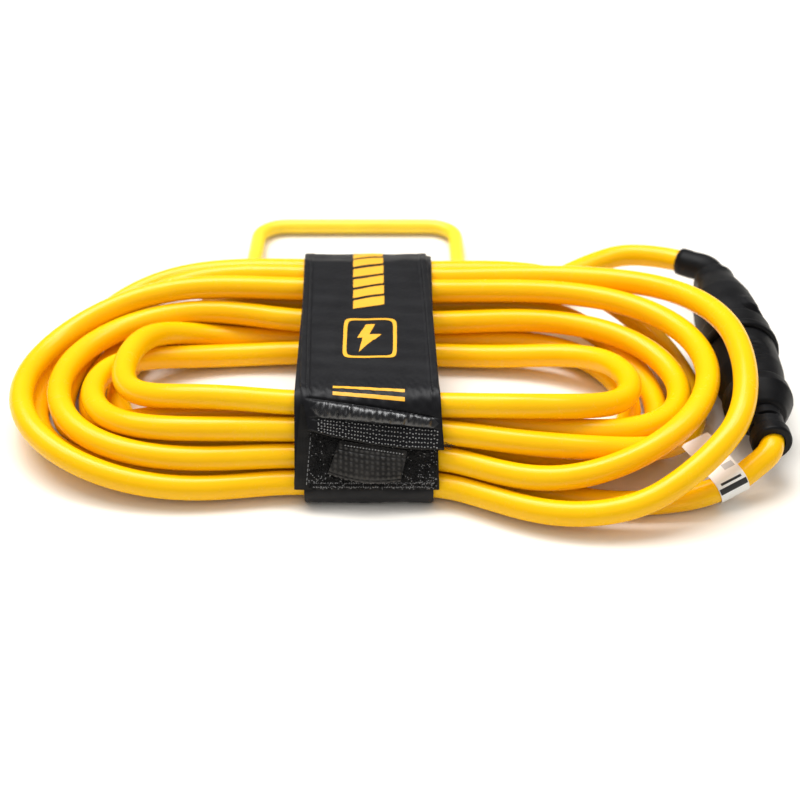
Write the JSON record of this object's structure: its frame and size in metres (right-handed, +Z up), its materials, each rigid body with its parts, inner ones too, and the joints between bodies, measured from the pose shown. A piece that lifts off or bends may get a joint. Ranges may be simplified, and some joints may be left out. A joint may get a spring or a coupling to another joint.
{
  "type": "shore power cord",
  "caption": "Heavy yellow shore power cord coiled in a long oval, plug and socket mated end to end, held by a wide hook-and-loop carry strap with a wire handle.",
  "frame": {"origin": "on the underside of the strap, where it rests on the floor, midway between the coil's front and back bundles", "axes": "+X along the coil's long way towards the plug and socket, +Y towards the carry handle, +Z up"},
  "size_m": [0.5173, 0.3769, 0.0695],
  "materials": {
    "cord_yellow": "glossy extruded vinyl",
    "handle_yellow": "smooth moulded plastic",
    "moulded_black": "satin overmoulded vinyl",
    "insert_black": "moulded",
    "brass": "stamped",
    "wire_black": "insulated conductor",
    "wire_white": "insulated conductor",
    "wire_green": "insulated conductor",
    "strap_fabric": "coated nylon",
    "loop_fabric": "hook-and-loop pile",
    "label_white": "printed vinyl film"
  },
  "bodies": {
    "coil": {"cord_jacket": "cord_yellow", "conductor_hot": "wire_black", "conductor_neutral": "wire_white", "conductor_ground": "wire_green", "socket_body": "moulded_black", "socket_boot": "moulded_black", "socket_insert": "insert_black", "socket_contact_hot": "brass", "socket_contact_neutral": "brass", "socket_contact_ground": "brass", "strap_band": "strap_fabric", "printed_panel": "strap_fabric", "loop_panel": "loop_fabric", "handle_keeper": "strap_fabric"},
    "plug": {"plug_body": "moulded_black", "plug_boot": "moulded_black", "plug_bridge": "insert_black", "plug_blade_hot": "brass", "plug_blade_neutral": "brass", "plug_ground_pin": "brass", "plug_tail_jacket": "cord_yellow", "plug_wire_hot": "wire_black", "plug_wire_neutral": "wire_white", "plug_wire_ground": "wire_green", "label_flag": "label_white"},
    "handle": {"carry_handle": "handle_yellow"},
    "flap": {"strap_flap": "strap_fabric", "hook_patch": "loop_fabric"},
    "tab": {"pull_tab": "strap_fabric"}
  },
  "joints": [
    {"name": "plug_withdraw", "type": "slide", "parent": "coil", "child": "plug", "axis": [0.0541, -0.9985, 0], "range_m": [0, 0.03]},
    {"name": "handle_swing", "type": "hinge", "parent": "coil", "child": "handle", "pos_m": [-0.012, 0.131, 0.019], "axis": [1, 0, 0], "range_deg": [0, 97]},
    {"name": "flap_peel", "type": "hinge", "parent": "coil", "child": "flap", "pos_m": [0, -0.08394, 0.0601], "axis": [-1, 0, 0], "range_deg": [0, 120]},
    {"name": "pull_tab_lift", "type": "hinge", "parent": "flap", "child": "tab", "pos_m": [0.002, -0.09508, 0.0378], "axis": [-1, 0, 0], "range_deg": [0, 100]}
  ]
}
